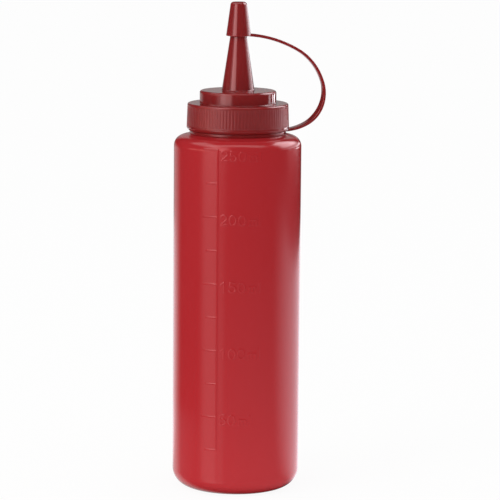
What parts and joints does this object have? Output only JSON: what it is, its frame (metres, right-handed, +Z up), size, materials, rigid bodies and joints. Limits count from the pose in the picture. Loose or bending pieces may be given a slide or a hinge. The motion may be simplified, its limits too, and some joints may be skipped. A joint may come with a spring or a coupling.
{
  "type": "squeeze bottle",
  "caption": "Slim round squeeze bottle with a ribbed screw closure, a tapered nozzle and a tip cap on a strap.",
  "frame": {"origin": "on the bottle's axis, in the plane of the rest ring under the base", "axes": "+Z up along the bottle's axis, +X towards the side on which the tip cap's strap bows out"},
  "size_m": [0.0626, 0.0504, 0.1936],
  "materials": {
    "body_plastic": "soft gloss, slightly translucent",
    "closure_plastic": "gloss"
  },
  "bodies": {
    "root": {"bottle": "body_plastic", "spout_closure": "closure_plastic", "tip_cap": "closure_plastic"}
  },
  "joints": []
}
